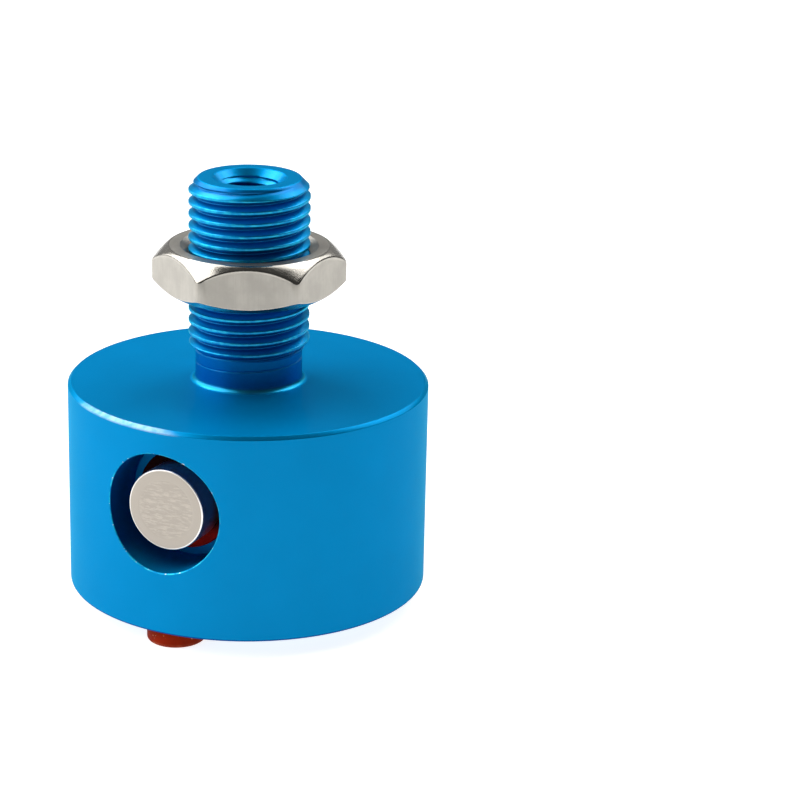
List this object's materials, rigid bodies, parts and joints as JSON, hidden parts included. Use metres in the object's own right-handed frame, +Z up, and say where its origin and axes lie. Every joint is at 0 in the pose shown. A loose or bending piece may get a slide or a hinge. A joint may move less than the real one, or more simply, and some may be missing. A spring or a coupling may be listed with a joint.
{
  "type": "bernoulli gripper",
  "caption": "Round non-contact air gripper with a threaded stem and lock nut, a plugged side air port, and a recessed nozzle in its working face between friction pads.",
  "frame": {"origin": "on the gripper's axis, in the plane that the friction pads rest on", "axes": "+Z up the stem, away from the working face; -Y out of the plugged side port"},
  "size_m": [0.03, 0.03, 0.036],
  "materials": {
    "blue_anodised_aluminium": "satin, blue anodised, fine bead-blast speckle",
    "nickel_plate": "nickel plated steel, brushed flats",
    "turned_brass": "face-turned",
    "red_silicone": "matt silicone rubber"
  },
  "bodies": {
    "gripper": {"body": "blue_anodised_aluminium", "nozzle": "turned_brass", "port_plug": "nickel_plate", "plug_seal": "red_silicone", "pad_1": "red_silicone", "pad_2": "red_silicone", "pad_3": "red_silicone"},
    "lock_nut": {"lock_nut": "nickel_plate"}
  },
  "joints": [
    {"name": "nut_travel", "type": "slide", "parent": "gripper", "child": "lock_nut", "axis": [0, 0, 1], "range_m": [-0.007, 0.005]}
  ]
}
